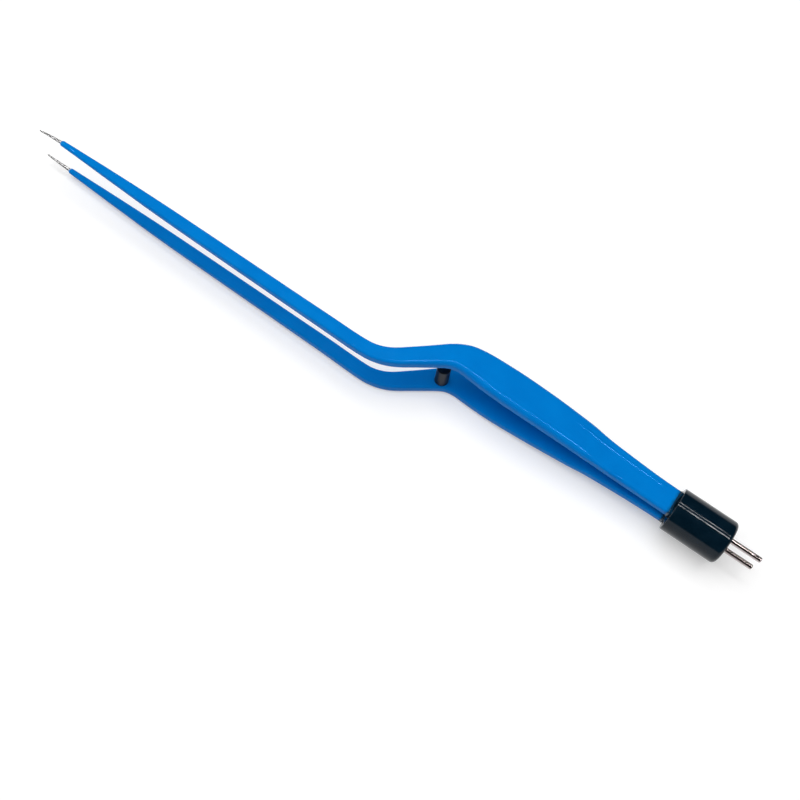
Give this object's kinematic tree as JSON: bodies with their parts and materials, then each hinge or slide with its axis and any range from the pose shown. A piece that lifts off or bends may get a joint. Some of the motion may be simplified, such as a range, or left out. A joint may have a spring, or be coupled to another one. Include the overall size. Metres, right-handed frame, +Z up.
{
  "type": "bipolar forceps",
  "caption": "Bayonet bipolar forceps with blue insulated spring arms, bare fine tips, a black stop peg and a round black connector with contact pins.",
  "frame": {"origin": "under the middle of the part's box, on the surface that it lies on", "axes": "+X from the tips towards the contact pins, +Y across the handle away from the working section, +Z up, the way the arms open"},
  "size_m": [0.2406, 0.024, 0.0184],
  "materials": {
    "insulation": "smooth gloss insulating skin",
    "blade_steel": "satin spring steel",
    "contact_plating": "polished plating",
    "connector_plastic": "smooth moulded black",
    "potting_resin": "poured glossy resin",
    "stop_plastic": "satin moulded black",
    "solder_metal": "dull solder"
  },
  "bodies": {
    "connector": {"connector_sleeve": "connector_plastic", "potting": "potting_resin", "upper_pin": "contact_plating", "lower_pin": "contact_plating", "upper_solder": "solder_metal", "lower_solder": "solder_metal"},
    "upper_arm": {"upper_blade": "blade_steel", "upper_coating": "insulation"},
    "lower_arm": {"lower_blade": "blade_steel", "lower_coating": "insulation", "stop_peg": "stop_plastic"}
  },
  "joints": [
    {"name": "upper_arm_flex", "type": "hinge", "parent": "connector", "child": "upper_arm", "pos_m": [0.10494, 0.00549, 0.01239], "axis": [0, -1, 0], "range_deg": [0, 1.36], "stiffness_Nm_per_rad": 2},
    {"name": "lower_arm_flex", "type": "hinge", "parent": "connector", "child": "lower_arm", "pos_m": [0.10494, 0.00549, 0.00604], "axis": [0, 1, 0], "range_deg": [0, 1.36], "stiffness_Nm_per_rad": 2}
  ]
}
